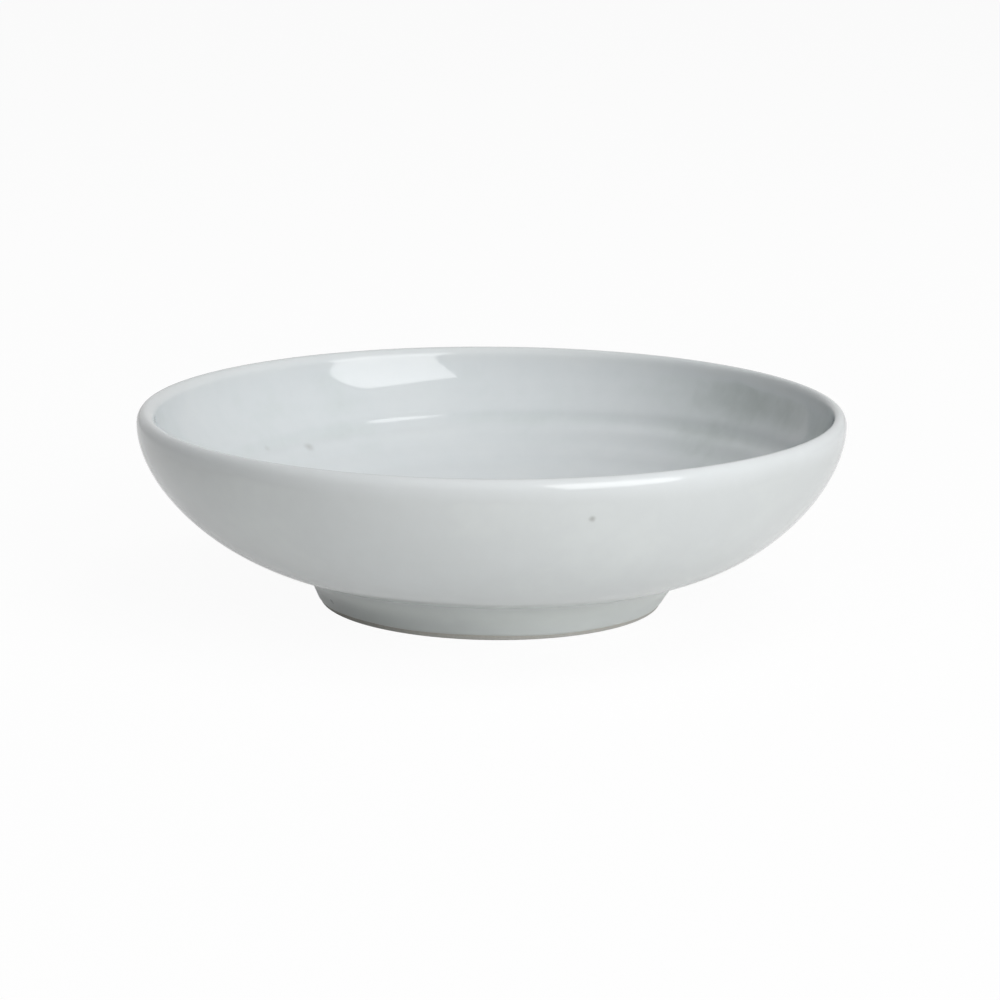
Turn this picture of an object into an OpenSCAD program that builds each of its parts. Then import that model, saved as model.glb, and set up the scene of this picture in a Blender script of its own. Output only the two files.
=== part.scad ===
// Small round dish for soy sauce: a thrown porcelain bowl on a low flared foot, glazed
// inside, outside and in the foot's hollow, with a bare clay ring to stand on.
// Sizes are in millimetres. The origin is on the table, at the middle of the dish.

/* [Bowl] */
// Width across the widest line, just under the rim
rim_w = 100; // [85:0.5:115]
// Height from the table to the top of the lip
dish_h = 27.8; // [24:0.1:32]
// Thickness of the lip at the widest line, glaze included
lip_t = 2.3; // [2:0.1:2.8]
// Height of the rounded lip above the widest line
lip_h = 1.6; // [1.2:0.1:2.2]
// Thickness of the wall where it leaves the foot, glaze included
wall_t = 3.4; // [2.8:0.1:4]
// Thickness of the floor above the foot's hollow, glaze included
floor_t = 4.1; // [3.4:0.1:4.8]
// Slope of the belly where it leaves the foot, in degrees
belly_slope = 13; // [9:1:17]
// How far the belly holds that slope, as a share of its reach past the foot
belly_low_share = 0.51; // [0.4:0.01:0.6]
// How far the belly stands upright under the widest line, as a share of its rise
belly_high_share = 0.4; // [0.3:0.01:0.5]

/* [Foot] */
// Width of the foot where its glazed side would meet the table
foot_w = 48; // [44:0.5:54]
// Lean of the foot's side from upright, wider at the top, in degrees
foot_lean = 38; // [30:1:42]
// Height of the crease between foot and belly
crease_h = 5.6; // [5:0.1:6.4]
// Radius of the soft crease
crease_r = 4; // [3:0.1:5]
// Width of the clay ring at the table, before its edges are smoothed
ring_w = 3.2; // [2.6:0.1:4]
// Radius of the smoothed edges of the clay ring
edge_r = 0.8; // [0.5:0.1:1]
// Height of the hollow inside the foot
hollow_h = 3.2; // [2.6:0.1:3.6]
// Lean of the hollow's side from upright, narrower at the top, in degrees
hollow_lean = 14; // [5:1:20]

/* [Glaze] */
// Thickness of the glaze on the bowl, inside and outside
glaze_t = 0.35; // [0.25:0.05:0.45]
// Thickness of the glaze in the foot's hollow
hollow_glaze_t = 0.3; // [0.2:0.05:0.4]
// Height of the bare clay band wiped around the foot
bare_h = 0.6; // [0.4:0.1:0.9]
// Height of the bare clay band wiped around the hollow's side
hollow_bare_h = 0.9; // [0.6:0.1:1.2]
// Radius of the glaze that pools in the hollow's corner
pool_r = 1.2; // [0.8:0.1:1.5]

/* [Throwing rings] */
// Distance from one ring to the next, measured down the inside
ring_pitch = 4.1; // [3:0.1:5]
// Depth of the rings that the fingers left in the wall
ring_depth = 0.22; // [0.1:0.02:0.3]
// Width of the plain band between the lip and the first ring
plain_band = 3.9; // [3:0.1:6]

/* [Hidden] */
$fn = 96;

clay_colour = "#e4dfd4";
glaze_colour = "#d3d8d9";

// Steps along each stretch of a curve
wall_steps = 42;
floor_steps = 42;
lip_steps = 8;
corner_steps = 6;

// Share of the floor's reach over which each end of its curve keeps its direction
floor_share = 1 / 3;
// Number of rings over which the pattern dies away towards the middle of the floor
fading_rings = 2;

rim_r = rim_w / 2;
lip_r = rim_r - lip_t / 2;
widest_h = dish_h - lip_h;
seam_h = hollow_h + hollow_glaze_t;
floor_h = hollow_h + floor_t;

// Direction turned a quarter to the left
function left(v) = [-v[1], v[0]];
function unit(v) = v / norm(v);
function reversed(line) = [for (i = [len(line) - 1:-1:0]) line[i]];

// Place, direction and left-hand side at share t of a curve with four control points
function place(p, t) =
    p[0] * pow(1 - t, 3) + p[1] * 3 * t * pow(1 - t, 2) + p[2] * 3 * t * t * (1 - t) + p[3] * pow(t, 3);
function run(p, t) =
    (p[1] - p[0]) * pow(1 - t, 2) + (p[2] - p[1]) * 2 * t * (1 - t) + (p[3] - p[2]) * t * t;
function aside(p, t) = left(unit(run(p, t)));

// Rounding of the corner at p on the way from a to b, with its arc moved out by more
function rounding(a, p, b, r, more = 0) =
    let (u = unit(a - p))
    let (v = unit(b - p))
    let (half = acos(u * v) / 2)
    let (middle = p + unit(u + v) * r / sin(half))
    let (start = p + u * r / tan(half) - middle)
    let (turn = sign(cross(u, v)) * (2 * half - 180))
    [for (i = [0:corner_steps])
        let (angle = atan2(start[1], start[0]) + turn * i / corner_steps)
        middle + (r + more) * [cos(angle), sin(angle)]];

// The foot's glazed side runs up to the crease, and the belly leaves the crease's rounding
foot_run = [sin(foot_lean), cos(foot_lean)];
belly_run = [cos(belly_slope), sin(belly_slope)];
crease = [foot_w / 2, 0] + foot_run * crease_h / foot_run[1];
belly_start = crease + belly_run * crease_r / tan(acos(-foot_run * belly_run) / 2);

// Control points of the belly, from the crease to the widest line
widest = [rim_r, widest_h];
belly_low = belly_run * belly_low_share * (rim_r - belly_start[0]) / belly_run[0];
belly_high = [0, belly_high_share * (widest_h - belly_start[1])];
BELLY = [belly_start, belly_start + belly_low, widest - belly_high, widest];

// Control points of the floor, from the middle of the dish to the start of the wall
wall_start = belly_start + wall_t * left(belly_run);
floor_run = floor_share * wall_start[0];
FLOOR = [[0, floor_h], [floor_run, floor_h], wall_start - belly_run * floor_run, wall_start];

// Inner face without its rings, from the lip down and in to the middle, and its left-hand side
function wall_place(t) = place(BELLY, t) + (wall_t + (lip_t - wall_t) * t) * aside(BELLY, t);
inner_face = concat(
    [for (i = [wall_steps:-1:1]) wall_place(i / wall_steps)],
    [for (i = [floor_steps:-1:0]) place(FLOOR, i / floor_steps)]);
inner_aside = concat(
    [for (i = [wall_steps:-1:1]) aside(BELLY, i / wall_steps)],
    [for (i = [floor_steps:-1:0]) aside(FLOOR, i / floor_steps)]);
last = len(inner_face) - 1;

// Distance of each point of the inner face from the lip, measured along the face
inner_way = [for (i = 0, way = 0; i <= last; way = way + norm(inner_face[min(i + 1, last)] - inner_face[i]), i = i + 1) way];

// Depth of the throwing rings at a distance from the lip
function ring_cut(way) =
    let (fade = min(1, (inner_way[last] - way) / (fading_rings * ring_pitch)))
    way < plain_band ? 0 : fade * ring_depth * (1 - cos(360 * (way - plain_band) / ring_pitch)) / 2;

// Each line below lies inside the glaze's face by depth: zero is the face, glaze_t the clay
function outer_line(depth) = concat(
    rounding([foot_w / 2, 0], crease, belly_start, crease_r, depth),
    [for (i = [1:wall_steps]) place(BELLY, i / wall_steps) + depth * aside(BELLY, i / wall_steps)],
    [for (i = [1:lip_steps - 1]) lip_place(90 * i / lip_steps, depth)]);
function lip_place(angle, depth) =
    [lip_r + (lip_t / 2 - depth) * cos(angle), widest_h + (lip_h - depth) * sin(angle)];
function inner_line(depth) = concat(
    [for (i = [1:lip_steps - 1]) lip_place(90 + 90 * i / lip_steps, depth)],
    [for (i = [0:last]) inner_face[i] - (depth + ring_cut(inner_way[i])) * inner_aside[i]]);

// Points of the foot's side and of the hollow's side at a height
function foot_side(h, depth) = [foot_w / 2 + (h * foot_run[0] - depth) / foot_run[1], h];
hollow_r = foot_side(0, glaze_t)[0] - ring_w;
function hollow_side(h, depth) = [hollow_r - h * tan(hollow_lean) - depth / cos(hollow_lean), h];

// Thrown and turned porcelain body, with a flat base that the foot is stuck under
module clay_bowl() {
    color(clay_colour)
        rotate_extrude()
            polygon(concat(
                [[0, seam_h], foot_side(seam_h, glaze_t)],
                outer_line(glaze_t),
                [lip_place(90, glaze_t)],
                inner_line(glaze_t)));
}

// Low clay ring under the base: its bare, smoothed edge is what touches the table
module foot_ring() {
    outer_low = foot_side(0, glaze_t);
    outer_top = foot_side(seam_h, glaze_t);
    inner_low = hollow_side(0, 0);
    inner_top = hollow_side(seam_h, 0);
    color(clay_colour)
        rotate_extrude()
            polygon(concat(
                [outer_top],
                rounding(outer_top, outer_low, inner_low, edge_r),
                rounding(outer_low, inner_low, inner_top, edge_r),
                [inner_top]));
}

// Glaze poured into the bowl, from the lip's top over the rings to the middle of the floor
module inside_glaze() {
    color(glaze_colour)
        rotate_extrude()
            polygon(concat(
                [lip_place(90, 0)],
                inner_line(0),
                reversed(inner_line(glaze_t)),
                [lip_place(90, glaze_t)]));
}

// Glaze that the outside was dipped in, from the lip's top down the belly and the foot
module outside_glaze() {
    color(glaze_colour)
        rotate_extrude()
            polygon(concat(
                [foot_side(bare_h + glaze_t, 0)],
                outer_line(0),
                [lip_place(90, 0), lip_place(90, glaze_t)],
                reversed(outer_line(glaze_t)),
                [foot_side(bare_h, glaze_t)]));
}

// Glaze brushed into the foot's hollow, pooled in its corner and wiped off lower down
module foot_hollow_glaze() {
    side_low = hollow_side(hollow_bare_h + hollow_glaze_t, hollow_glaze_t);
    ceiling = [0, hollow_h];
    color(glaze_colour)
        rotate_extrude()
            polygon(concat(
                [[0, seam_h], ceiling],
                rounding(ceiling, hollow_side(hollow_h, hollow_glaze_t), side_low, pool_r),
                [side_low, hollow_side(hollow_bare_h, 0), hollow_side(seam_h, 0)]));
}

clay_bowl();
foot_ring();
inside_glaze();
outside_glaze();
foot_hollow_glaze();
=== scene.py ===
# %% [markdown]
# # A thrown porcelain dish for soy sauce
#
# A potter throws a small bowl like this one in a few minutes, turns its outside smooth, sets it
# on a low foot and glazes it pale blue-grey. What makes it look hand-made is little: soft rings
# where the fingers drew the wall up, a rounded lip, a foot that sits a hair off the middle, and
# here and there a speck of iron that burnt through the glaze.
#
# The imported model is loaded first. It holds the dish's true sizes and stays where it is: every
# piece made here takes its place from it.

# %% The fixed frame
import math

import bpy
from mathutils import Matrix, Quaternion, Vector
from mathutils.geometry import interpolate_bezier
from mathutils.kdtree import KDTree


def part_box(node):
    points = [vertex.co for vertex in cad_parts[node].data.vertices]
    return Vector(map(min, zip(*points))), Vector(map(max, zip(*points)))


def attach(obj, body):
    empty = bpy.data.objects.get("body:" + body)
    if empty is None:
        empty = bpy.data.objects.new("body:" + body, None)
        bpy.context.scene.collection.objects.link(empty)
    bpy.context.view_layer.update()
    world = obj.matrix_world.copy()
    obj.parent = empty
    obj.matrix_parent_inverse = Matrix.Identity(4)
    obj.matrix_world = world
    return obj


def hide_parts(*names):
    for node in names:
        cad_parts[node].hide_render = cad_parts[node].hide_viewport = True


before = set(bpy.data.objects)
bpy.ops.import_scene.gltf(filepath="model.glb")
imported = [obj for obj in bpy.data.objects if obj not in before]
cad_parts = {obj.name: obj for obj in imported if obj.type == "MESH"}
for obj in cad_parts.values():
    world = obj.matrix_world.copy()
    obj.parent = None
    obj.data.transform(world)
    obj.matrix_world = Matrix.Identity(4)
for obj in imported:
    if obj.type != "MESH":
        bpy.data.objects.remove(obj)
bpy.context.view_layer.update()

# %% [markdown]
# ## The potter's rib
#
# A potter shapes a wall against a rib, a small wooden template cut to half of the bowl's
# section. The same can be done here: the section is drawn once, as lines from the foot over
# the lip to the middle of the floor, and everything turned on the wheel follows them. They
# could be traced point by point, but a few Bezier stretches with handles give smoother light
# on a glossy wall, because their bend never jumps.
#
# Widths and heights come from the frame. What the frame's boxes don't tell, such as a slope or
# a thickness, is a named size, in the cell that first needs it.

# %% Sizes that the pieces share
mm = 0.001
rim_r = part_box("outside_glaze")[1].x
dish_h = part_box("outside_glaze")[1].z
seam_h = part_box("foot_ring")[1].z
wall_t, floor_t, glaze_t, hollow_glaze_t = 3.4 * mm, 4.1 * mm, 0.35 * mm, 0.3 * mm
hollow_h = seam_h - hollow_glaze_t
floor_h = hollow_h + floor_t
print("rim", round(rim_r / mm, 2), "height", round(dish_h / mm, 2), "seam", round(seam_h / mm, 2))


# %% Helpers for drawing a section
def at(r, h):
    """A point of the section: r from the axis and h above the table."""
    return Vector((r, 0, h))


def stretch(start, start_handle, end_handle, end, steps):
    """Points of a Bezier stretch, without its first point."""
    return interpolate_bezier(start, start_handle, end_handle, end, steps + 1)[1:]


def inset(line, depth):
    """The line moved into the clay by depth, square to its own run."""
    moved = []
    for i, point in enumerate(line):
        along = (line[min(i + 1, len(line) - 1)] - line[max(i - 1, 0)]).normalized()
        moved.append(point + at(-along.z, along.x) * depth)
    return moved


# %% [markdown]
# ## Foot, crease and belly
#
# The foot's side flares outwards. The belly leaves it nearly level and bends up until it stands
# upright at the widest line, just under the lip. The tool cuts the crease between the two quite
# tight, and the melted glaze draws itself into a softer round over it, as water does in a
# corner. One bevel would give both the same round, so the clay and the face of the glaze each
# get a line of their own here. The glaze's line leaves the foot lower down and joins the belly
# a few points further out.

# %% The foot's side and the belly
foot_r, foot_lean = 24.3 * mm, math.radians(27)
crease_h, crease_reach = 5.27 * mm, 2.9 * mm
belly_slope = math.radians(13)
belly_low_share, belly_high_share = 0.51, 0.4
lip_t, lip_h = 2.3 * mm, 1.6 * mm
belly_steps = 60


def foot_side(h, depth=0):
    """The foot's side at a height, or a line that lies inside it by depth."""
    return at(foot_r + h * math.tan(foot_lean) - depth / math.cos(foot_lean), h)


foot_run = at(math.sin(foot_lean), math.cos(foot_lean))
belly_run = at(math.cos(belly_slope), math.sin(belly_slope))
crease = foot_side(crease_h)
belly_start = crease + belly_run * crease_reach
widest = at(rim_r, dish_h - lip_h)
belly_low = belly_run * belly_low_share * (widest.x - belly_start.x) / belly_run.x
belly_high = at(0, belly_high_share * (widest.z - belly_start.z))
belly_line = stretch(belly_start, belly_start + belly_low, widest - belly_high, widest, belly_steps)
print("crease", round(crease.x / mm, 2), "mm from the axis, belly of", len(belly_line), "points")

# %% The crease in the clay and in the glaze
clay_low_h, glaze_low_h = 3.7 * mm, 2.3 * mm
joined = 3
corner_pull, belly_pull = 0.6, 0.55
crease_steps, pooled_steps = 14, 24

crease_low = foot_side(clay_low_h)
low_handle, high_handle = (end.lerp(crease, corner_pull) for end in (crease_low, belly_start))
crease_line = [crease_low]
crease_line += stretch(crease_low, low_handle, high_handle, belly_start, crease_steps)

pooled_low, pooled_high = foot_side(glaze_low_h), belly_line[joined]
pooled_run = (pooled_high - belly_line[joined - 1]).normalized()
low_handle = pooled_low.lerp(crease, corner_pull)
high_handle = pooled_high - pooled_run * belly_pull * (pooled_high - crease).length
pooled_line = [pooled_low]
pooled_line += stretch(pooled_low, low_handle, high_handle, pooled_high, pooled_steps)
print("points in the clay's crease", len(crease_line), "and in the glaze's", len(pooled_line))

# %% [markdown]
# ## The lip
#
# A strip of wet leather rounds the lip while the wheel turns. A half circle would be too blunt
# here: the lip rises by more than half of its thickness, so it is half an ellipse. It ends a
# little short of upright on the inner side, and the wall goes on from there on a slant. The two
# coats of glaze meet on top of it. So that no line shows there, its points crowd to the top.

# %% The lip
lip_steps = 20
lip_end = math.radians(166)


def lip(share):
    """A point of the lip's ellipse: 0 is the widest line, 1 the top and 2 the inner edge."""
    angle = share * (2 - share) * math.pi / 2
    if share > 1:
        angle = math.pi / 2 + (share - 1) ** 2 * (lip_end - math.pi / 2)
    return at(rim_r - lip_t / 2 + lip_t / 2 * math.cos(angle), widest.z + lip_h * math.sin(angle))


lip_line = [lip(i / lip_steps) for i in range(2 * lip_steps + 1)]
lip_top, lip_inner = lip_line[lip_steps], lip_line[-1]
over_lip = lip_line[1 : lip_steps + 1]
print("lip", round((rim_r - lip_inner.x) / mm, 2), "mm from its widest line to its inner edge")

# %% [markdown]
# ## The inner wall and the floor
#
# A thrown wall is thick at the foot and thin at the lip. Moving the outer line in by one
# thickness would miss that, and it would copy the crease into the floor. So the inner face is
# drawn by itself: it leaves the lip on its slant, bends, runs beside the belly for a moment
# over the crease, and ends level in the middle. The faces of the clay lie one thickness of
# glaze further in, where half as many points are enough, because nobody sees them.

# %% The inner face and the clay under the glaze
wall_low_share, wall_high_share = 0.5, 0.36
wall_steps, floor_steps = 90, 68
wall_run = at(-lip_t / 2 * math.sin(lip_end), lip_h * math.cos(lip_end)).normalized()
wall_start = belly_start + at(-belly_run.z, belly_run.x) * wall_t
wall_low = belly_run * wall_low_share * (lip_inner.x - wall_start.x) / belly_run.x
wall_high = wall_run * wall_high_share * (lip_inner.z - wall_start.z) / -wall_run.z
middle = at(0, floor_h)
reach = wall_start.x / 3
floor_low, floor_high = middle + at(reach, 0), wall_start - belly_run * reach

inside = lip_line[lip_steps:]
inside += stretch(lip_inner, lip_inner + wall_high, wall_start + wall_low, wall_start, wall_steps)
inside += stretch(wall_start, floor_high, floor_low, middle, floor_steps)
outside = pooled_line + belly_line[joined + 1 :] + over_lip
outside_clay = inset(crease_line + belly_line + over_lip, glaze_t)
inside_clay = inset(inside, glaze_t)[::2]
outside_clay[-1] = inside_clay[0] = lip_top - at(0, glaze_t)
inside_clay[-1] = middle - at(0, glaze_t)
print("points outside", len(outside), "and inside", len(inside))

# %% [markdown]
# ## Turning a piece on the wheel
#
# A bowl could be made from a circle that is extruded and scaled ring by ring, or from a curve
# with a Screw modifier. Drawing half of the section and spinning it is the nearest to a wheel,
# and it keeps the section exact. A plane is merged to one vertex, the vertex is extruded from
# point to point, and the line is spun through a quarter turn. Spin copies all that it has made
# with each step, so a whole turn in fine steps would be slow: a Mirror modifier makes the other
# three quarters. A mirrored part can come out inside out, so the normals are made anew.

# %% Draw, spin and mirror
quarter_turns = 64
merge_gap = 0.0005 * mm


def turn(name, line):
    """Spins a line of the section once round the dish's axis."""
    bpy.ops.object.select_all(action="DESELECT")
    bpy.ops.mesh.primitive_plane_add(size=mm)
    piece = bpy.context.object
    piece.name = piece.data.name = name
    bpy.ops.object.mode_set(mode="EDIT")
    bpy.ops.mesh.merge(type="CENTER")
    bpy.ops.transform.translate(value=line[0])
    for here, there in zip(line, line[1:]):
        bpy.ops.mesh.extrude_vertices_move(TRANSFORM_OT_translate={"value": there - here})
    bpy.ops.mesh.select_all(action="SELECT")
    bpy.ops.mesh.spin(steps=quarter_turns, angle=math.pi / 2, center=(0, 0, 0), axis=(0, 0, 1))
    bpy.ops.object.mode_set(mode="OBJECT")
    mirror = piece.modifiers.new("other quarters", "MIRROR")
    mirror.use_axis = (True, True, False)
    mirror.merge_threshold = merge_gap
    bpy.ops.object.modifier_apply(modifier=mirror.name)
    bpy.ops.object.mode_set(mode="EDIT")
    bpy.ops.mesh.select_all(action="SELECT")
    bpy.ops.mesh.remove_doubles(threshold=merge_gap)
    bpy.ops.mesh.normals_make_consistent(inside=False)
    bpy.ops.mesh.select_all(action="DESELECT")
    bpy.ops.object.mode_set(mode="OBJECT")
    print(name, "has", len(piece.data.polygons), "faces")
    return piece


# %% Round off an edge
def round_off(piece, height, radius, width, segments):
    """Bevels the ring of edges that lies at a height and at a radius."""
    mesh = piece.data
    for edge in mesh.edges:
        ends = [mesh.vertices[v].co for v in edge.vertices]
        level = all(abs(end.z - height) < merge_gap for end in ends)
        edge.select = level and all(abs(end.xy.length - radius) < merge_gap for end in ends)
    bpy.ops.object.mode_set(mode="EDIT")
    bpy.ops.mesh.select_mode(type="EDGE")
    bpy.ops.mesh.bevel(offset=width, segments=segments, offset_type="OFFSET")
    bpy.ops.mesh.select_mode(type="VERT")
    bpy.ops.mesh.select_all(action="DESELECT")
    bpy.ops.object.mode_set(mode="OBJECT")
    print(piece.name, "has", len(mesh.polygons), "faces with its edge rounded")


# %% [markdown]
# ## The bowl and its two coats
#
# The clay of the bowl is one body with a flat base. The outside was dipped into a bucket of
# glaze, the inside was filled and poured out again, and the kiln melted both coats to a layer
# of glass, a third of a millimetre thick. A coat could be made with Solidify from the bowl's
# own faces. Here each coat is drawn with both its faces, because it ends in a rolled edge where
# it was wiped off above the table, and Solidify would leave that edge square. Down on the foot
# the sponge left it thinner, so the clay's side comes nearer to its face there.

# %% The edge of a coat of glaze
bead_bulge, bead_turn, bead_steps = 0.9, 0.25 * mm, 6


def bead(clay_point, face_point, out, up):
    """The rolled edge of a melted coat: it leaves the clay along out and runs on along up."""
    bulge = clay_point + out * bead_bulge * (face_point - clay_point).dot(out)
    turned_up = face_point - up * bead_turn
    return [clay_point] + stretch(clay_point, bulge, turned_up, face_point, bead_steps)


# %% The bowl and its two coats
bare_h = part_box("outside_glaze")[0].z
bead_h, thinned = 0.45 * mm, 0.12 * mm
side_seam = foot_side(seam_h, glaze_t)
foot_low = foot_side(0, thinned)
clay_run = (side_seam - foot_low).normalized()
wiped = foot_low + clay_run * bare_h / clay_run.z
foot_out = at(math.cos(foot_lean), -math.sin(foot_lean))
outside_edge = bead(wiped, foot_side(bare_h + bead_h), foot_out, foot_run)
edge_top, face_low = outside_edge[-1], outside[0]
outside_edge += stretch(edge_top, edge_top, face_low, face_low, bead_steps)[:-1]

thrown_bowl = turn("thrown_bowl", [at(0, seam_h), side_seam] + outside_clay + inside_clay[1:])
dipped_line = outside_edge + outside + outside_clay[::-1] + [side_seam, wiped]
dipped_glaze = turn("dipped_glaze", dipped_line)
poured_glaze = turn("poured_glaze", inside[::-1] + inside_clay)

# %% [markdown]
# ## The foot
#
# The foot is a low ring of clay that flares up to the belly. Its edge is left bare, or the dish
# would melt onto the kiln's shelf, and it is sponged round so that it doesn't scratch a table.
# A tube with a thick wall would need its sides scaled afterwards, so the ring is spun from four
# corners like the rest, and its lower edges are bevelled. In the hollow the trimming tool
# leaves faint rings and a small nub in the middle, and a brush of glaze covers them. They are
# real shape, so they are drawn into the section of the brushed coat.

# %% The clay ring
ring_w, hollow_lean = 3.2 * mm, math.radians(14)
outer_round, inner_round = 0.25 * mm, 0.62 * mm
hollow_low = foot_side(0, glaze_t) - at(ring_w, 0)


def hollow_side(h, depth=0):
    """The hollow's side at a height, or a line that stands off it by depth."""
    return hollow_low + at(-h * math.tan(hollow_lean) - depth / math.cos(hollow_lean), h)


turned_foot = turn("turned_foot", [side_seam, foot_low, hollow_low, hollow_side(seam_h), side_seam])
round_off(turned_foot, 0, foot_low.x, outer_round, segments=6)
round_off(turned_foot, 0, hollow_low.x, inner_round, segments=6)

# %% The ceiling of the hollow
tool_gap, tool_depth, tool_start = 2.3 * mm, 0.05 * mm, 4 * mm
nub_h, nub_r = 0.5 * mm, 1.7 * mm
corner_round, corner_room = 0.94 * mm, 1.2
ceiling_steps = 56
hollow_corner = hollow_side(hollow_h, hollow_glaze_t)


def trimmed(r):
    """Height of the hollow's glaze at a distance from the axis, with tool rings and nub."""
    rings = tool_depth * math.sin(2 * math.pi * r / tool_gap) * min(1, r / tool_start)
    nub = nub_h * math.exp(-((r / nub_r) ** 2))
    return hollow_h + rings - nub


# The corner's bevel needs a free strip beside it, or its faces would run over the next ones
radii = [i * hollow_corner.x / ceiling_steps for i in range(ceiling_steps)]
ceiling_r = hollow_corner.x - corner_room * corner_round
ceiling = [at(r, trimmed(r)) for r in radii if r < ceiling_r] + [hollow_corner]
print("points in the ceiling", len(ceiling))

# %% The brushed coat
hollow_bare_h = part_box("foot_hollow_glaze")[0].z
hollow_bead_h = 0.5 * mm
hollow_in = at(-math.cos(hollow_lean), -math.sin(hollow_lean))
hollow_up = at(-math.sin(hollow_lean), math.cos(hollow_lean))
hollow_face = hollow_side(hollow_bare_h + hollow_bead_h, hollow_glaze_t)
hollow_edge = bead(hollow_side(hollow_bare_h), hollow_face, hollow_in, hollow_up)
brushed_line = ceiling + hollow_edge[::-1] + [hollow_side(seam_h), at(0, seam_h)]
brushed_glaze = turn("brushed_glaze", brushed_line)
round_off(brushed_glaze, hollow_h, hollow_corner.x, corner_round, segments=8)

# %% [markdown]
# ## The marks of the hands
#
# As the wheel turns, the fingers draw the wall up and leave one long shallow groove that winds
# round it, here 4.1 mm from one turn to the next. The bowl was also thrown a little off the
# middle, so the rings run nearer to the lip on the right. A bump texture would shade such rings,
# but the gloss on a real one follows the shape, so the mesh itself is pressed in: a vertex
# group says how deep each point goes, and a Displace modifier without a texture moves it along
# its normal. The back of the coat and the clay under it go the same way.

# %% Where a point lies on the inside
near = KDTree(len(inside))
ways = []
for i, point in enumerate(inside):
    near.insert(point, i)
    ways.append(ways[-1] + (point - inside[i - 1]).length if i else 0)
near.balance()
ways = [way - ways[lip_steps] for way in ways]
print("from the lip's inner edge to the middle", round(ways[-1] / mm, 1), "mm")


def place_inside(co):
    """Distance from the lip's inner edge down the wall, and the angle round the axis."""
    index = near.find(at(co.xy.length, co.z))[1]
    return ways[index], math.atan2(co.y, co.x)


def faces_up(vertex):
    """True where a point's normal looks into the bowl and not into the clay or outwards."""
    return vertex.normal.z > vertex.normal.xy.dot(vertex.co.xy.normalized())


def ease(low, high, value):
    """A smooth ramp from 0 at low to 1 at high."""
    share = min(1, max(0, (value - low) / (high - low)))
    return share * share * (3 - 2 * share)


# %% A push on part of a piece
def push(piece, name, weight, direction, amount):
    """Moves points by amount, each as far as its weight between 0 and 1 says."""
    group = piece.vertex_groups.new(name=name)
    moved = 0
    for vertex in piece.data.vertices:
        share = weight(vertex)
        if share > 0:
            group.add([vertex.index], share, "REPLACE")
            moved += 1
    bpy.context.view_layer.objects.active = piece
    displace = piece.modifiers.new(name, "DISPLACE")
    displace.vertex_group = name
    displace.direction = direction
    displace.mid_level = 0
    displace.strength = amount
    bpy.ops.object.modifier_apply(modifier=displace.name)
    print(piece.name + ":", name, "moved", moved, "points")


# %% How deep the groove is
ring_pitch, ring_depth, plain_band = 4.1 * mm, 0.33 * mm, 4.3 * mm
off_middle, strength_lean = 1.1 * mm, 1.85 * mm
first_wider, wide_from, wide_to = 1.3 * mm, 3 * mm, 9 * mm
# Each row: a change of strength, and between how many rings below the plain band it comes
strength_changes = ((0.15, 0, 0.6), (0.85, 0.7, 1.3), (-0.65, 1.6, 2.4))


def ring(way, angle):
    """How deep the groove is, from 0 to 1, at a place on the inside.

    The first ring is wide and faint, the second is the deepest, the others are shallower, and
    towards the middle of the floor they die away."""
    level = (way - plain_band + strength_lean * math.cos(angle)) / ring_pitch
    strength = sum(change * ease(low, high, level) for change, low, high in strength_changes)
    strength *= ease(0, 2 * ring_pitch, ways[-1] - way)
    winding = ring_pitch * (angle / (2 * math.pi) - 0.25)
    widened = first_wider * (1 - ease(wide_from, wide_to, way))
    turns = (way + widened - plain_band - winding + off_middle * math.cos(angle)) / ring_pitch
    return strength * (1 - math.cos(2 * math.pi * turns)) / 2


# %% The throwing rings
def ring_in_front(vertex):
    return ring(*place_inside(vertex.co)) if faces_up(vertex) else 0


def ring_behind(vertex):
    return 0 if faces_up(vertex) else ring(*place_inside(vertex.co))


push(thrown_bowl, "rings", ring_in_front, "NORMAL", -ring_depth)
push(poured_glaze, "rings behind", ring_behind, "NORMAL", ring_depth)
push(poured_glaze, "rings", ring_in_front, "NORMAL", -ring_depth)

# %% [markdown]
# ## Nothing is quite round
#
# The lip is a little thicker on the left, the wiped edges of the glaze wander, and the foot was
# set a good half millimetre to the right of the rim. The rim isn't quite level either: it rises
# by half a degree to the right. Moving points by hand in proportional editing would do, but it
# couldn't be repeated. The first two are pushes on part of a piece. The foot's place and the
# rim's tilt change slowly with height all over the dish, so a Lattice modifier makes them: one
# lattice of six layers holds all five pieces, and they stay in touch.

# %% Uneven lip and wiped edges
lip_drift, drift_from, drift_to = 0.3 * mm, 2 * mm, 18 * mm
outside_wander, outside_top = 0.2 * mm, 3 * mm
hollow_wander, hollow_top = 0.3 * mm, 2 * mm
bead_room = 0.4 * mm


def near_lip(vertex):
    """0 at the lip's top, 1 at its inner edge and 0 again far down the wall."""
    way = place_inside(vertex.co)[0]
    return ease(ways[0], 0, way) * (1 - ease(drift_from, drift_to, way))


def near_lip_of_clay(vertex):
    return near_lip(vertex) if faces_up(vertex) else 0


def wander(vertex, first, second, low, high):
    """Three long waves and eight short ones round the axis, which die away from low to high.

    First and second turn the two kinds of waves, so that no two edges wander alike."""
    angle = math.atan2(vertex.co.y, vertex.co.x)
    wave = 0.5 + 0.3 * math.sin(3 * angle + first) + 0.2 * math.sin(8 * angle + second)
    return wave * (1 - ease(low + bead_room, high, vertex.co.z))


def wander_outside(vertex):
    return wander(vertex, 1, 2, bare_h, outside_top)


def wander_in_hollow(vertex):
    return wander(vertex, 4, 0, hollow_bare_h, hollow_top)


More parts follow.
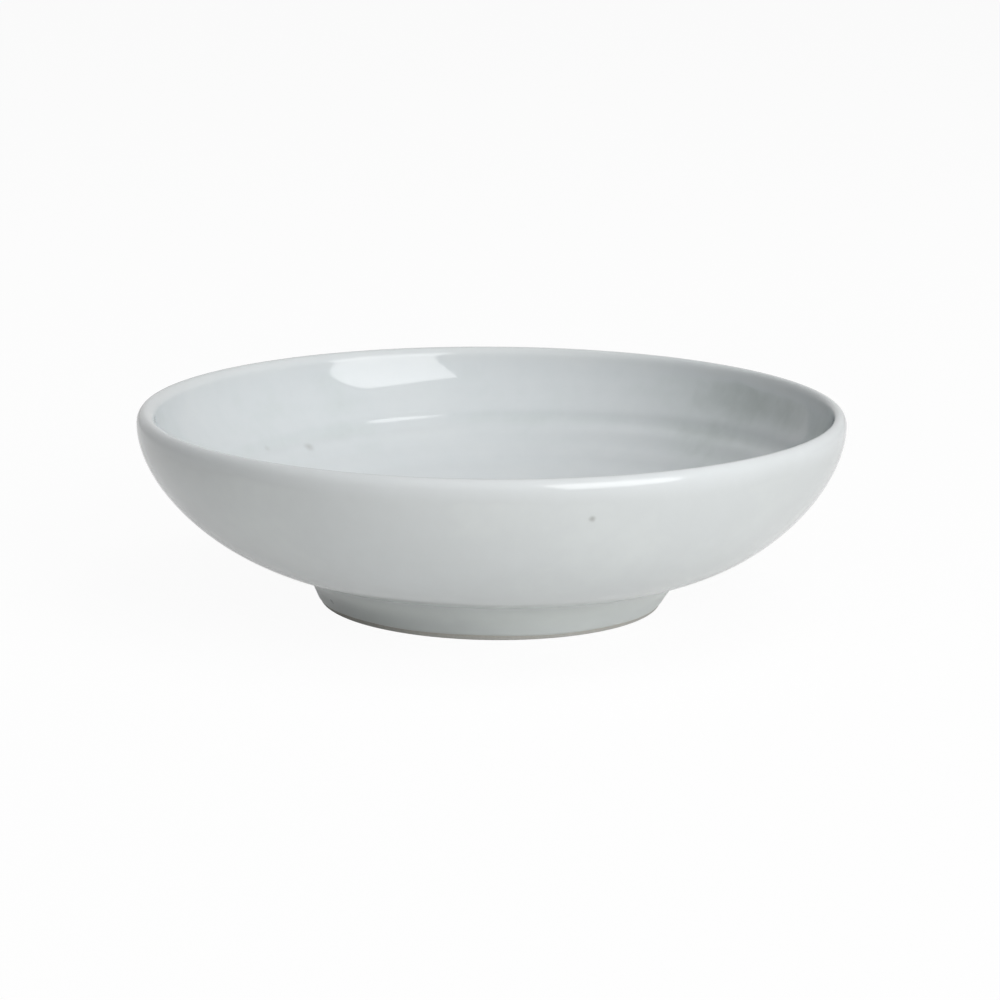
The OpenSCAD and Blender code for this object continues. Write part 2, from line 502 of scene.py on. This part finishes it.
push(thrown_bowl, "lip", near_lip_of_clay, "X", lip_drift)
push(poured_glaze, "lip", near_lip, "X", lip_drift)
push(dipped_glaze, "wiped edge", wander_outside, "Z", outside_wander)
push(brushed_glaze, "wiped edge", wander_in_hollow, "Z", hollow_wander)

# %% The lattice, from the table to the rim
# How far each layer moves to the right, from the table up to the rim
foot_drift = [0.15 * mm, 0.55 * mm, 0.3 * mm, 0.1 * mm, 0, 0]
rim_tilt = 0.0079
cage_w = 2.2 * rim_r
bpy.ops.object.select_all(action="DESELECT")
bpy.ops.object.add(type="LATTICE", location=(0, 0, dish_h / 2))
cage = bpy.context.object
cage.scale = (cage_w, cage_w, dish_h)
cage.data.points_u = cage.data.points_v = 2
cage.data.points_w = len(foot_drift)
cage.data.interpolation_type_u = cage.data.interpolation_type_v = "KEY_LINEAR"
cage.data.interpolation_type_w = "KEY_CATMULL_ROM"
for i, point in enumerate(cage.data.points):
    layer = i // 4
    risen = layer / (len(foot_drift) - 1)
    point.co_deform.z += rim_tilt * point.co.x * cage.scale.x * risen / cage.scale.z
    point.co_deform.x += foot_drift[layer] / cage.scale.x
print("rim tilt", round(math.degrees(math.atan(rim_tilt)), 2), "degrees")

# %% All five pieces in the lattice
for piece in (thrown_bowl, dipped_glaze, poured_glaze, turned_foot, brushed_glaze):
    bpy.context.view_layer.objects.active = piece
    hold = piece.modifiers.new("drift", "LATTICE")
    hold.object = cage
    bpy.ops.object.modifier_apply(modifier=hold.name)
    print(piece.name, "is", round(piece.dimensions.x / mm, 2), "mm wide")
bpy.data.objects.remove(cage)

# %% [markdown]
# ## Colours and nodes
#
# A colour is written as the sRGB hex value that an eye reads from a swatch, and turned to the
# linear values that light is added up in. A node could be placed and wired by hand in the
# Shader Editor. Here one small function adds it with its settings, the values of its sockets
# and its links in one call, so a material reads from top to bottom as a list of what it does.
# Sockets go by name, or by number where several have the same name, as in a Math node. A Mix
# node has its factor at 0 and its two colours at 6 and 7, and gives the mixed colour at 2,
# because its sockets for values and vectors come first.

# %% Helpers for colours and nodes
def linear(hex_colour):
    """An sRGB hex colour as the linear colour that a shader takes."""
    parts = [int(hex_colour[i : i + 2], 16) / 255 for i in (1, 3, 5)]
    return [p / 12.92 if p <= 0.04045 else ((p + 0.055) / 1.055) ** 2.4 for p in parts] + [1]


def material(name):
    """An empty material with nodes."""
    made = bpy.data.materials.new(name)
    made.use_nodes = True
    made.node_tree.nodes.clear()
    return made


def add(made, kind, settings=None, sockets=None, links=None):
    """Adds a node to a material, a lamp or the world, with its settings, values and links."""
    node = made.node_tree.nodes.new("ShaderNode" + kind)
    for name, value in (settings or {}).items():
        setattr(node, name, value)
    for socket, value in (sockets or {}).items():
        node.inputs[socket].default_value = value
    for socket, source in (links or {}).items():
        made.node_tree.links.new(source, node.inputs[socket])
    return node


def lay_out(color_ramp, stops):
    """Lays hex colours on a colour ramp, each at its place between 0 and 1."""
    for _ in range(len(stops) - 2):
        color_ramp.elements.new(0.5)
    for element, (place, colour) in zip(color_ramp.elements, stops):
        element.position = place
        element.color = linear(colour)


def sway(made, source, amount, base):
    """Base plus a noise that moves it up and down by half of amount."""
    scaled = {1: amount, 2: -amount / 2}
    moved = add(made, "Math", {"operation": "MULTIPLY_ADD"}, scaled, {0: source}).outputs[0]
    return add(made, "Math", {"operation": "ADD"}, links={0: base, 1: moved}).outputs[0]


# %% [markdown]
# ## The glaze
#
# The glaze is a pale celadon: a glass with a trace of iron, fired over white porcelain. Most
# of its shade comes from how thick it lies and how it was put on. Poured inside, it is a cool
# grey, a breath darker in the grooves. Below the lip on the right, where the wall faces away
# from the softbox, it is painted darker and greener: painted shade. On the lip it ran thin,
# and the clay shines through. Dipped outside, it is a plainer grey. In the crease, on the foot
# and in the hollow it is no longer glossy but satin, as where a coat was sponged and brushed
# thin. The crease and the foot are painted paler as well: painted light, for the light that
# the table throws back up, and the hollow's corner takes the same pale colour.
#
# A texture could guess these places, but the dish itself knows them. So each point gets its
# place on one colour ramp as an attribute: 0 for the painted shade below the lip, 0.24 for the
# inside, 0.38 for the lip, 0.6 for the outside and 0.9 for the satin places, painted paler. Soft
# clouds and a fine mottling move that place a little, as the thickness of a dipped coat does.

# %% The shades, and their places inside
shades = [
    # 0: the darkest stop, for the patch of painted shade below the lip on the right
    (0, "#a7b0ad"),
    (0.2, "#cdd3d4"),
    (0.24, "#d0d5d7"),
    (0.38, "#d6dadb"),
    (0.6, "#cfd3d3"),
    # 0.9: the palest stop, painted light for the light that the table throws up onto the foot and
    #      into the crease
    (0.9, "#dfe4e1"),
]
on_wall, on_lip, on_belly = 0.24, 0.38, 0.6
# The third of these darkens the patch below the lip on the right, where the wall faces away from
# the softbox: painted shade.
groove_darker, floor_darker, patch_darker = 0.04, 0.015, 0.12
patch_middle = math.radians(22)


def shade_inside(vertex):
    """From the lip's shade into the wall's, darker in grooves, on the floor and in a patch of
    painted shade below the lip on the right.

    The painted shade fades out between 8 and 30 degrees to both sides of its middle."""
    way, angle = place_inside(vertex.co)
    off_lip = ease(-1.2 * mm, 2 * mm, way)
    floor = 1 - ease(4 * mm, 24 * mm, ways[-1] - way)
    # Below the lip on the right, where the wall faces away from the softbox, a patch is painted
    # darker and greener: painted shade.
    shade_patch = ease(-0.4 * mm, 1 * mm, way) * (1 - ease(3.4 * mm, 7.5 * mm, way))
    shade_patch *= ease(0.87, 0.99, math.cos(angle - patch_middle))
    darker = groove_darker * ring(way, angle) + floor_darker * floor + patch_darker * shade_patch
    return on_lip + (on_wall - on_lip) * off_lip - darker


# %% Places of the shades outside and in the hollow
# The first two make the crease and the foot paler: painted light, for the light that the table
# throws back up.
crease_painted_light, foot_painted_light, corner_paler = 0.1, 0.14, 0.3


def shade_outside(vertex):
    """From the lip's shade into the belly's, with painted light in the crease and on the foot."""
    height = vertex.co.z
    off_lip = ease(0.6 * mm, 3.6 * mm, dish_h - height)
    in_crease = 1 - ease(1.2 * mm, 3.6 * mm, abs(height - crease_h))
    on_foot = 1 - ease(4 * mm, 6.5 * mm, height)
    # Painted light: paler where the table throws light back up under the belly and onto the foot.
    paler = crease_painted_light * in_crease + foot_painted_light * on_foot
    return on_lip + (on_belly - on_lip) * off_lip + paler


def shade_hollow(vertex):
    """The belly's shade, palest in the corner of the hollow."""
    to_corner = (vertex.co.xy.length - hollow_corner.x, vertex.co.z - hollow_corner.z)
    # The corner reaches the pale stop at 0.9, whose colour is painted light for the foot and the
    # crease.
    return on_belly + corner_paler * (1 - ease(0.8 * mm, 4 * mm, math.hypot(*to_corner)))


for piece, shade_at in (
    (poured_glaze, shade_inside),
    (dipped_glaze, shade_outside),
    (brushed_glaze, shade_hollow),
):
    places = [shade_at(vertex) for vertex in piece.data.vertices]
    piece.data.attributes.new("glaze_shade", "FLOAT", "POINT").data.foreach_set("value", places)
    print(piece.name, "has shades from", round(min(places), 2), "to", round(max(places), 2))

# %% Patterns and colour of the glaze
glaze = material("pale_celadon_glaze")
spot = add(glaze, "TexCoord").outputs["Object"]
shade = add(glaze, "Attribute", {"attribute_name": "glaze_shade"}).outputs["Fac"]

# A Noise texture of scale 1 has blots about one unit wide, so its scale is one over their width
patterns = {}
for name, width, detail in (
    ("clouds", 22 * mm, 2),
    ("mottle", 2.5 * mm, 3),
    ("patches", 7 * mm, 2),
    ("waves", 8.5 * mm, 1),
    ("peel", 1.2 * mm, 1),
):
    scale = {"Scale": 1 / width, "Detail": detail}
    patterns[name] = add(glaze, "TexNoise", sockets=scale, links={"Vector": spot}).outputs["Fac"]

cloudy, speckled = 0.3, 0.1
clouded = sway(glaze, patterns["clouds"], cloudy, shade)
mottled = sway(glaze, patterns["mottle"], speckled, clouded)
tinted = add(glaze, "ValToRGB", links={"Fac": mottled})
lay_out(tinted.color_ramp, shades)
print("shades on the ramp:", len(tinted.color_ramp.elements))

# %% [markdown]
# ## Specks of iron
#
# A few grains of iron in the clay melt into the glaze from below and leave small soft spots.
# They could be a noise with a high threshold, but there are too few of them to leave to
# chance, so each has its place: the side it is on, how far round and how high, its width and
# how dark it is. The nearest point of the piece's own mesh is looked up, so each speck lies in
# the glaze. The distance to it, with a little noise in it, gives a spot that isn't quite round.

# %% Places of the specks
# Piece, line of the section, degrees round the axis, height and width in mm, and darkness
speck_list = [
    (poured_glaze, inside, 132.5, 15.5, 2.4, 0.26),
    (poured_glaze, inside, 143.2, 16.3, 1.6, 0.12),
    (poured_glaze, inside, 255, 14.2, 1.1, 0.3),
    (poured_glaze, inside, 318, 9.1, 0.9, 0.25),
    (poured_glaze, inside, 20, 7.9, 0.8, 0.2),
    (dipped_glaze, outside, -74.6, 22.4, 1.35, 0.42),
    (dipped_glaze, outside, 38, 17.5, 1, 0.35),
    (dipped_glaze, outside, 97, 12.2, 1.3, 0.3),
    (dipped_glaze, outside, 152, 20.8, 0.9, 0.3),
    (dipped_glaze, outside, 205, 9.6, 0.8, 0.2),
]
grain_w, raggedness = 0.5 * mm, 0.25 * mm
print("specks:", len(speck_list))

# %% The specks as soft balls in the glaze
soft = {"interpolation_type": "SMOOTHSTEP"}
grains = add(glaze, "TexNoise", sockets={"Scale": 1 / grain_w}, links={"Vector": spot})
grainy = {0: grains.outputs["Color"], 2: spot}
times = {1: (raggedness,) * 3}
ragged = add(glaze, "VectorMath", {"operation": "MULTIPLY_ADD"}, times, grainy).outputs[0]
# The noise adds half of the raggedness on average, so each speck's place gets that much too
specks = None
for piece, line, azimuth, height, width, dark in speck_list:
    on_line = min(line, key=lambda point: abs(point.z - height * mm))
    turned = Quaternion((0, 0, 1), math.radians(azimuth)) @ on_line
    place = piece.closest_point_on_mesh(turned)[1] + Vector((1, 1, 1)) * raggedness / 2
    gap = add(glaze, "VectorMath", {"operation": "DISTANCE"}, {1: place}, {0: ragged})
    spread = {"From Min": 0, "From Max": width / 2 * mm, "To Min": dark, "To Max": 0}
    speck = add(glaze, "MapRange", soft, spread, {"Value": gap.outputs["Value"]}).outputs[0]
    if specks:
        speck = add(glaze, "Math", {"operation": "MAXIMUM"}, links={0: specks, 1: speck}).outputs[0]
    specks = speck
print("glaze nodes with the specks:", len(glaze.node_tree.nodes))

# %% [markdown]
# ## The glaze's surface
#
# Melted glass is smooth, but never flat: it has slow waves from the hand and a faint orange
# peel. Both are a few hundredths of a millimetre high at most and show only in what the glaze
# mirrors. As geometry they would need millions of faces, so they are bump. The gloss changes a
# little from patch to patch, and it turns to satin where the coat is thin. Glass like this has
# an IOR of 1.5.

# %% The glaze's shader
burnt = {0: specks, 6: tinted.outputs["Color"]}
colour = add(glaze, "Mix", {"data_type": "RGBA"}, {7: linear("#6b675f")}, burnt).outputs[2]
glossy = {"From Min": 0, "From Max": 1, "To Min": 0.045, "To Max": 0.075}
gloss = add(glaze, "MapRange", sockets=glossy, links={"Value": patterns["patches"]}).outputs[0]
thin = {"From Min": on_belly + 0.03, "From Max": on_belly + 0.12, "To Min": 0, "To Max": 0.22}
satin = add(glaze, "MapRange", soft, thin, {"Value": shade}).outputs[0]
rough = add(glaze, "Math", {"operation": "ADD"}, links={0: gloss, 1: satin}).outputs[0]

hand = {"Height": patterns["waves"]}
waves = add(glaze, "Bump", sockets={"Distance": 0.05 * mm}, links=hand).outputs[0]
peel = {"Height": patterns["peel"], "Normal": waves}
skin = add(glaze, "Bump", sockets={"Distance": 0.003 * mm}, links=peel).outputs[0]
coat = {"Base Color": colour, "Roughness": rough, "Normal": skin}
melted = add(glaze, "BsdfPrincipled", sockets={"IOR": 1.5}, links=coat).outputs[0]
add(glaze, "OutputMaterial", links={"Surface": melted})
print("glaze nodes:", len(glaze.node_tree.nodes))

# %% [markdown]
# ## The bare clay
#
# Porcelain that was fired without glaze is matt, dense and a little warmer than the coat. It is
# seen only on the foot's edge and low in the hollow. Plain grey would look like plastic there:
# the tool leaves fine lines round the axis, half a millimetre apart, grit shows as faint grains,
# and the clay is flushed with a breath of tan towards the glaze, from salts that the drying
# water leaves. The lines come from a Wave texture in rings, and the flush follows the height.

# %% Colour of the clay
grit_w, stain_w = 0.3 * mm, 5 * mm
bisque = material("bare_porcelain_clay")
place_on = add(bisque, "TexCoord").outputs["Object"]
grit = {"Scale": 1 / grit_w, "Detail": 2}
grains = add(bisque, "TexNoise", sockets=grit, links={"Vector": place_on}).outputs["Fac"]
body = add(bisque, "ValToRGB", links={"Fac": grains})
lay_out(body.color_ramp, [(0.3, "#bebdb8"), (0.7, "#cac9c4")])

height = add(bisque, "SeparateXYZ", links={"Vector": place_on}).outputs["Z"]
stain = {"Scale": 1 / stain_w, "Detail": 2}
drying = add(bisque, "TexNoise", sockets=stain, links={"Vector": place_on}).outputs["Fac"]
uneven = sway(bisque, drying, 0.5 * mm, height)
rise = {"From Min": 0.25 * mm, "From Max": bare_h, "To Min": 0, "To Max": 0.15}
flush = add(bisque, "MapRange", soft, rise, {"Value": uneven}).outputs[0]
salted = {0: flush, 6: body.outputs["Color"]}
flushed = add(bisque, "Mix", {"data_type": "RGBA"}, {7: linear("#c3b49f")}, salted).outputs[2]

# %% The clay's shader
# At scale 1 a Wave texture draws a line every 2 pi / 20 units
line_gap = 0.5 * mm
rings = {"wave_type": "RINGS", "rings_direction": "Z"}
lines = {"Scale": 2 * math.pi / 20 / line_gap, "Distortion": 1.5, "Detail": 1}
tool_lines = add(bisque, "TexWave", rings, lines, {"Vector": place_on}).outputs["Fac"]
turned_skin = add(bisque, "Bump", sockets={"Distance": 0.012 * mm}, links={"Height": tool_lines})
gritty = {"Height": grains, "Normal": turned_skin.outputs[0]}
grit_skin = add(bisque, "Bump", sockets={"Distance": 0.015 * mm}, links=gritty).outputs[0]
dry = {"Base Color": flushed, "Normal": grit_skin}
fired = add(bisque, "BsdfPrincipled", sockets={"Roughness": 0.62, "IOR": 1.5}, links=dry)
add(bisque, "OutputMaterial", links={"Surface": fired.outputs[0]})
print("clay nodes:", len(bisque.node_tree.nodes))

# %% [markdown]
# ## Dress the pieces
#
# Each piece gets its finish and stands for the CAD node of the same clay or coat, which stays
# hidden in its place. Faces could all be shaded smooth, but the corner where the clay's base
# meets its side is a real edge, so only angles under 40 degrees are smoothed.

# %% Finish, node and body of each piece
for piece, node, finish, slot in (
    (thrown_bowl, "clay_bowl", bisque, "bare_porcelain"),
    (turned_foot, "foot_ring", bisque, "bare_porcelain"),
    (poured_glaze, "inside_glaze", glaze, "pale_glaze"),
    (dipped_glaze, "outside_glaze", glaze, "pale_glaze"),
    (brushed_glaze, "foot_hollow_glaze", glaze, "pale_glaze"),
):
    piece.data.materials.clear()
    piece.data.materials.append(finish)
    bpy.ops.object.select_all(action="DESELECT")
    piece.select_set(True)
    bpy.context.view_layer.objects.active = piece
    bpy.ops.object.shade_smooth_by_angle(angle=math.radians(40))
    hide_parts(node)
    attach(piece, "root")
    print(piece.name, "stands for", node)

# %% [markdown]
# ## The camera
#
# The photograph was taken half a metre away with a long lens, from 12 degrees above the table,
# and the camera was held not quite level. A camera could be turned by hand until the view
# fits. Here its direction is worked out from the tilt, so it always looks at the dish, and the
# roll of 0.8 degrees comes on top. A small shift of the lens moves the dish to its place in the
# picture without changing how it is seen.

# %% The camera
camera_data = bpy.data.cameras.new("camera")
camera = bpy.data.objects.new("camera", camera_data)
bpy.context.collection.objects.link(camera)
bpy.context.scene.camera = camera
camera_tilt, camera_roll = math.radians(12.38), 0.0139
camera_distance = 500.5 * mm
look_at = Vector((0, 0, 15 * mm))
away = Vector((0, -math.cos(camera_tilt), math.sin(camera_tilt)))
roll = Quaternion((0, 0, 1), camera_roll)
camera.location = look_at + away * camera_distance
camera.rotation_mode = "QUATERNION"
camera.rotation_quaternion = (-away).to_track_quat("-Z", "Y") @ roll
camera_data.sensor_width = 36
camera_data.lens = 126.76
camera_data.shift_x, camera_data.shift_y = 0.0094, -0.005
camera_data.clip_start = 10 * mm
print("camera at", [round(v, 3) for v in camera.location])

# %% [markdown]
# ## A white table in a white room
#
# The background has to be white and the light on the dish plain, and these are two wishes. More
# light would bleach the dish. Light Path tells the rays apart instead: one from the camera
# finds nearly pure white, one that gloss or glass sends on finds three quarters of the white
# room or nearly half of the white table, and all others find only the real table and a dark
# room. The rest of what a ray finds on the table is the table's own shading, so the dish's
# shadow stays, on the table and in the glaze.

# %% How white a ray finds the table or the room
def seen_directly(made, for_camera, for_gloss):
    """The share of plain white that a ray from the camera, or from gloss or glass, finds."""
    path = add(made, "LightPath").outputs
    sent_on = {0: path["Is Glossy Ray"], 1: path["Is Transmission Ray"]}
    mirrored = add(made, "Math", {"operation": "MAXIMUM"}, links=sent_on).outputs[0]
    times = {"operation": "MULTIPLY"}
    from_gloss = add(made, "Math", times, {1: for_gloss}, {0: mirrored}).outputs[0]
    from_camera = add(made, "Math", times, {1: for_camera}, {0: path["Is Camera Ray"]}).outputs[0]
    larger = {0: from_gloss, 1: from_camera}
    return add(made, "Math", {"operation": "MAXIMUM"}, links=larger).outputs[0]


# %% The table
table = material("white_table")
lit = add(table, "BsdfDiffuse", sockets={"Color": linear("#f8f8f8")}).outputs[0]
white = add(table, "Emission", sockets={"Strength": 1}).outputs[0]
either = {0: seen_directly(table, 0.95, 0.44), 1: lit, 2: white}
both = add(table, "MixShader", links=either).outputs[0]
add(table, "OutputMaterial", links={"Surface": both})

# A hair below the foot, so that the two never lie in one plane
bpy.ops.object.select_all(action="DESELECT")
bpy.ops.mesh.primitive_plane_add(size=6, location=(0, 0, -0.02 * mm))
floor = bpy.context.object
floor.name = "floor"
floor.data.materials.append(table)
print("table", round(floor.dimensions.x, 1), "m wide")

# %% The room
world = bpy.data.worlds.new("room")
bpy.context.scene.world = world
world.use_nodes = True
world.node_tree.nodes.clear()
paint = linear("#ffffff")
dim = add(world, "Background", sockets={"Color": paint, "Strength": 0.005}).outputs[0]
bright = add(world, "Background", sockets={"Color": paint, "Strength": 1}).outputs[0]
either = {0: seen_directly(world, 1, 0.76), 1: dim, 2: bright}
room = add(world, "MixShader", links=either).outputs[0]
add(world, "OutputWorld", links={"Surface": room})
bpy.context.scene.view_settings.view_transform = "Standard"
print("room nodes:", len(world.node_tree.nodes))

# %% [markdown]
# ## The light
#
# One softbox at the front right lights the dish, and its mirror image is the bright window high
# on the inner wall. The walls and the ceiling of the room and the table in front throw some of
# its light back into the shade. That could be left to bounces, but a room has to be built
# for them, so four weak lamps stand for it. Plain lamps would show as four more windows in the
# glaze, where a room shows only an even white, so gloss doesn't find them.

# %% Lamps
def lamp(name, azimuth, elevation, power, size, size_y=None):
    """An area lamp a metre from the dish. Azimuth counts from the camera's side to the right."""
    data = bpy.data.lights.new(name, "AREA")
    data.shape = "RECTANGLE"
    data.size, data.size_y = size, size_y or size
    data.energy = power
    hung = bpy.data.objects.new(name, data)
    bpy.context.collection.objects.link(hung)
    a, e = math.radians(azimuth), math.radians(elevation)
    back = Vector((math.sin(a) * math.cos(e), -math.cos(a) * math.cos(e), math.sin(e)))
    hung.location = look_at + back
    hung.rotation_mode = "QUATERNION"
    hung.rotation_quaternion = (-back).to_track_quat("-Z", "Y")
    print(name, "at", [round(v, 2) for v in hung.location])
    return hung


softbox = lamp("softbox", 42, 25, 7, 0.74, 0.71)
for name, azimuth, elevation, power, size in (
    ("left wall", -54, 60, 2.3, 0.9),
    ("right wall", 88, 68, 3, 0.6),
    ("ceiling", 40, 72, 1.1, 0.6),
    ("low front", 5, 6, 1, 0.5),
):
    lamp(name, azimuth, elevation, power, size).visible_glossy = False

# %% [markdown]
# ## The softbox's rounded end
#
# The window in the glaze has one square end and one round one, as if the softbox's cloth were
# cut round there. A round lamp would be round at both ends, and a card in front of a square one
# would be one more object to place. The lamp's own coordinates run from 0 to 1 across its face,
# so a few nodes measure how far a place lies from the middle of the round end and switch the
# light off beyond it.

# %% The softbox's face
round_start = 0.7
cloth = softbox.data
cloth.use_nodes = True
cloth.node_tree.nodes.clear()
across = add(cloth, "NewGeometry").outputs["Parametric"]
sides = add(cloth, "SeparateXYZ", links={"Vector": across}).outputs
end = {"From Min": round_start, "From Max": 1}
past = add(cloth, "MapRange", sockets=end, links={"Value": sides["X"]}).outputs[0]
whole = {"From Min": 0, "From Max": 1, "To Min": -1}
up = add(cloth, "MapRange", sockets=whole, links={"Value": sides["Y"]}).outputs[0]
off = add(cloth, "CombineXYZ", links={"X": past, "Y": up}).outputs[0]
from_middle = add(cloth, "VectorMath", {"operation": "LENGTH"}, links={0: off}).outputs["Value"]
hem = {"From Min": 0.96, "From Max": 1.02, "To Min": 1, "To Max": 0}
rounded = add(cloth, "MapRange", soft, hem, {"Value": from_middle}).outputs[0]
glow = add(cloth, "Emission", links={"Strength": rounded}).outputs[0]
add(cloth, "OutputLight", links={"Surface": glow})
print("softbox nodes:", len(cloth.node_tree.nodes))
